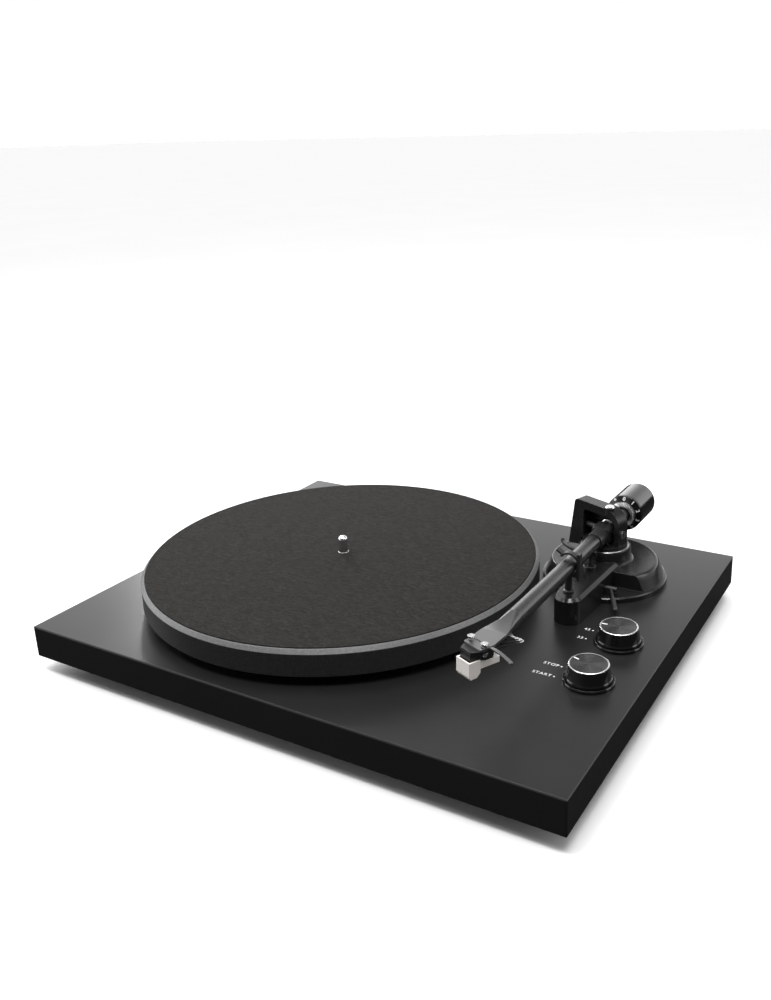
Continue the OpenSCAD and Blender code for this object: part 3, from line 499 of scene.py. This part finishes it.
def capsule(x0, x1, half, steps=10):
    """Outline of a line with round ends, along x."""
    pts = []
    for cx, start in ((x1, -90), (x0, 90)):
        for i in range(steps + 1):
            a = math.radians(start + 180 * i / steps)
            pts.append((cx + half * math.cos(a), half * math.sin(a)))
    return pts


def revolve(profile, place, steps=48):
    """A ring from (radius, height) points turned about the local z axis."""
    n = len(profile)
    verts, faces = [], []
    for k in range(steps):
        a = 2 * math.pi * k / steps
        verts += [place(Vector((r * math.cos(a), r * math.sin(a), z))) for r, z in profile]
    for k in range(steps):
        j = (k + 1) % steps
        faces += [(k * n + i, j * n + i, j * n + (i + 1) % n, k * n + (i + 1) % n) for i in range(n)]
    return verts, faces


# ---------- printed labels beside the controls ----------
def on_top(cx, cy):
    """Lays a flat mark on the plinth, just clear of its surface."""
    return lambda p: Vector((cx + p.x, cy + p.y, TOP + 0.005 * MM + p.z + 0.03 * MM))


DOT_RADIUS, DOT_SIDES = 0.62 * MM, 24
LABELS = [("START", 152.7, -62.3), ("STOP", 152.25, -49.1), ("33", 152.45, -8.1), ("45", 152.6, 4.6)]
for word, x, y in LABELS:
    parts = [letters(word, 4.0 * MM, on_top((x - 1.9) * MM, y * MM), "RIGHT", 1.18, bold=0.05 * MM)]
    turns = [2 * math.pi * k / DOT_SIDES for k in range(DOT_SIDES)]
    dot = [(DOT_RADIUS * math.cos(a), DOT_RADIUS * math.sin(a)) for a in turns]
    parts.append(prism(dot, -0.03 * MM, 0.03 * MM, on_top(x * MM, y * MM)))
    v, f = merged(parts)
    piece("label_" + word.lower(), v, f, PRINT, "base", smooth=False)


# ---------- pointers on the knobs ----------
for knob, angle in (("start_knob", 165), ("speed_knob", 187)):
    lo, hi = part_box(knob + "_cap")
    centre = Vector(((lo.x + hi.x) / 2, (lo.y + hi.y) / 2, hi.z - 0.2 * MM))
    turn = Matrix.Translation(centre) @ turned(angle, "Z")
    v, f = prism(capsule(8.2 * MM, 12.2 * MM, 0.5 * MM), -0.05 * MM, 0.07 * MM, lambda p: turn @ p)
    piece(knob + "_pointer", v, f, PRINT, knob + "_body")


# cone of the force dial: radius against distance along the arm
R0, Y0, R1, Y1 = 6.9 * MM, 38.2 * MM, 14.2 * MM, 43.0 * MM
SLOPE = math.hypot(R1 - R0, Y1 - Y0)


def on_cone(angle, along):
    """Wraps a flat mark onto the dial: x runs clockwise round it and y runs outwards."""

    def place(p):
        s = along + p.y
        r = R0 + (R1 - R0) * s / SLOPE
        y = Y0 + (Y1 - Y0) * s / SLOPE
        a = angle - p.x / r
        lift = p.z + 0.04 * MM
        r += lift * (Y1 - Y0) / SLOPE
        y -= lift * (R1 - R0) / SLOPE
        return ARM @ Vector((r * math.cos(a), y, r * math.sin(a)))

    return place


LINES, FIGURES, LINE_HALF = 50, 10, 0.13 * MM
marks = []
for i in range(LINES):
    place = on_cone(math.radians(90 - 360 / LINES * i), 1.5 * MM)
    length = (1.9 if i % (LINES // FIGURES) == 0 else 1.1) * MM
    line = [(-LINE_HALF, 0), (LINE_HALF, 0), (LINE_HALF, length), (-LINE_HALF, length)]
    marks.append(prism(line, -0.03 * MM, 0.03 * MM, place))
for i in range(FIGURES):
    place = on_cone(math.radians(90 - 360 / FIGURES * i), 6.35 * MM)
    marks.append(letters(str(i), 4.3 * MM, place, thick=0.05 * MM, bold=0.09 * MM))
v, f = merged(marks)
piece("dial_figures", v, f, PRINT, "dial_body", smooth=False)

# ---------- sleeves that grip the cartridge pins ----------
# radius and distance behind the screws
SLEEVE = [(0.5, 10.2), (0.82, 10.3), (0.86, 10.6), (0.82, 12.4),
          (0.74, 13.1), (0.5, 14.2), (0.4, 14.2), (0.4, 10.2)]
for i, (x, z) in enumerate([(1.9, -7.4), (1.9, -4.4), (-1.9, -7.4), (-1.9, -4.4)]):
    axis = HEAD @ shift(x, 0, z) @ turned(-90, "X")
    v, f = revolve([(r * MM, h * MM) for r, h in SLEEVE], lambda p, m=axis: m @ p, 24)
    piece(f"lead_sleeve_{i}", v, f, LOOKS["lead_skin"], "arm")

# ---------- coloured rings and figures at the terminals ----------
jack_lo, jack_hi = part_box("rca_insulators")
AXIS_Z = (jack_lo.z + jack_hi.z) / 2
RING = [(5.25, 0), (5.6, 0.02), (5.6, 0.25), (5.45, 0.4), (5.28, 0.4)]
LEFT_X, RIGHT_X, GROUND_X, POWER_X = 28, 45, 60, 93
for name, x, look in (("ring_left", LEFT_X, WHITE), ("ring_right", RIGHT_X, RED)):
    axis = Matrix.Translation((x * MM, jack_hi.y, AXIS_Z)) @ turned(-90, "X")
    v, f = revolve([(r * MM, h * MM) for r, h in RING], lambda p, m=axis: m @ p, 64)
    piece(name, v, f, look, "base")
PANEL_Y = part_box("rear_panel")[1].y
MARK_Z = 29.9 * MM


def on_panel(x):
    return lambda p: Vector((x * MM - p.x, PANEL_Y + p.z + 0.03 * MM, MARK_Z + p.y))


for word, x in (("L", LEFT_X), ("R", RIGHT_X), ("GND", GROUND_X), ("DC", POWER_X)):
    v, f = letters(word, 2.3 * MM, on_panel(x))
    piece("mark_" + word.lower(), v, f, PRINT, "base", smooth=False)


# ---------- floor, light and camera ----------
def floor():
    """Pale floor. Its bounce onto the object is held down, as with a studio's black flags."""
    s = Shade("look_floor", 0.9, Specular_IOR_Level=0.0)
    s.colour(s.ramp(s.noise(3, 2), [(0.2, (0.93, 0.93, 0.93)), (0.8, (0.95, 0.95, 0.95))]))
    flag = s.new("ShaderNodeBsdfDiffuse")
    flag.inputs["Color"].default_value = (0.03, 0.03, 0.03, 1)
    path = s.new("ShaderNodeLightPath")
    mix = s.new("ShaderNodeMixShader")
    s.link(path.outputs["Is Camera Ray"], mix.inputs[0])
    s.link(flag.outputs[0], mix.inputs[1])
    s.link(s.bsdf.outputs[0], mix.inputs[2])
    s.link(mix.outputs[0], s.tree.nodes["Material Output"].inputs["Surface"])
    mesh = bpy.data.meshes.new("floor")
    reach = 40
    corners = [(-reach, -reach, 0), (reach, -reach, 0), (reach, reach, 0), (-reach, reach, 0)]
    mesh.from_pydata(corners, [], [(0, 1, 2, 3)])
    mesh.materials.append(s.mat)
    obj = bpy.data.objects.new("floor", mesh)
    bpy.context.scene.collection.objects.link(obj)
    obj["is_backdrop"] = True


def world():
    """White to the camera; for light and reflections, bright low down behind the object and dim elsewhere."""
    w = bpy.data.worlds.new("studio")
    bpy.context.scene.world = w
    w.use_nodes = True
    t = w.node_tree
    coord = t.nodes.new("ShaderNodeTexCoord")
    sep = t.nodes.new("ShaderNodeSeparateXYZ")
    ramp = t.nodes.new("ShaderNodeValToRGB")
    t.links.new(coord.outputs["Generated"], sep.inputs[0])
    t.links.new(sep.outputs["Z"], ramp.inputs["Fac"])
    els = ramp.color_ramp.elements
    while len(els) < 5:
        els.new(0.5)
    for el, (pos, v) in zip(els, [(0.0, 1.0), (0.3, 0.8), (0.42, 0.34), (0.6, 0.1), (1.0, 0.06)]):
        el.position, el.color = pos, (v, v, v, 1)
    facing = t.nodes.new("ShaderNodeVectorMath")
    facing.operation = "DOT_PRODUCT"
    facing.inputs[1].default_value = (-0.72, 0.69, 0)
    t.links.new(coord.outputs["Generated"], facing.inputs[0])
    side = map_range(t, facing.outputs["Value"], -0.7, 0.95, 0.12, 1.6)
    low = t.nodes["Background"]
    t.links.new(ramp.outputs["Color"], low.inputs["Color"])
    power = t.nodes.new("ShaderNodeMath")
    power.operation = "MULTIPLY"
    power.inputs[1].default_value = 1.7
    t.links.new(side, power.inputs[0])
    t.links.new(power.outputs[0], low.inputs["Strength"])
    white = t.nodes.new("ShaderNodeBackground")
    white.inputs["Color"].default_value = (1, 1, 1, 1)
    path = t.nodes.new("ShaderNodeLightPath")
    mix = t.nodes.new("ShaderNodeMixShader")
    t.links.new(path.outputs["Is Camera Ray"], mix.inputs[0])
    t.links.new(low.outputs[0], mix.inputs[1])
    t.links.new(white.outputs[0], mix.inputs[2])
    t.links.new(mix.outputs[0], t.nodes["World Output"].inputs["Surface"])


def light(data, at, direction):
    obj = bpy.data.objects.new(data.name, data)
    bpy.context.scene.collection.objects.link(obj)
    obj.location = at
    obj.rotation_mode = "QUATERNION"
    obj.rotation_quaternion = Vector(direction).to_track_quat("-Z", "Y")


def sun(name, strength, angle, direction):
    data = bpy.data.lights.new(name, "SUN")
    data.energy, data.angle = strength, math.radians(angle)
    light(data, (0, 0, 0), direction)


def softbox(name, at, aim, size, power):
    data = bpy.data.lights.new(name, "AREA")
    data.shape, data.energy = "RECTANGLE", power
    data.size, data.size_y = size
    light(data, at, Vector(aim) - Vector(at))


def camera():
    """The photograph's view: azimuth, elevation and roll, lens and shift."""
    az, el, roll = math.radians(29.9), math.radians(18.34), math.radians(-1.54)
    back = Vector((math.sin(az) * math.cos(el), -math.cos(az) * math.cos(el), math.sin(el)))
    right = (-back).cross(Vector((0, 0, 1))).normalized()
    up = right.cross(-back)
    rolled_right = right * math.cos(roll) + up * math.sin(roll)
    rolled_up = up * math.cos(roll) - right * math.sin(roll)
    data = bpy.data.cameras.new("camera")
    data.sensor_fit, data.sensor_height, data.lens = "VERTICAL", 36, 35.151
    data.shift_x, data.shift_y = -0.06613, -0.04842
    data.clip_start, data.clip_end = 0.01, 200
    obj = bpy.data.objects.new("camera", data)
    bpy.context.scene.collection.objects.link(obj)
    pose = Matrix((rolled_right, rolled_up, back)).transposed().to_4x4()
    pose.translation = (0.37075, -0.56434, 0.36884)
    obj.matrix_world = pose
    bpy.context.scene.camera = obj


bpy.context.scene.view_settings.view_transform = "Standard"
floor()
world()
sun("overhead", 2.3, 60, (0.05, 0.0, -1))
softbox("left_box", (-1.3, -0.2, 1.1), (0, 0, 0.05), (0.9, 1.4), 9)
softbox("right_box", (1.3, 0.5, 0.9), (0.1, 0, 0.05), (0.5, 1.2), 5)
softbox("top_strip", (0.15, -0.45, 1.3), (0.1, 0, 0.05), (1.0, 0.18), 9)
softbox("left_strip", (-0.9, 0.7, 0.5), (0.1, 0, 0.05), (0.08, 0.5), 4)
camera()

lo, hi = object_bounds()
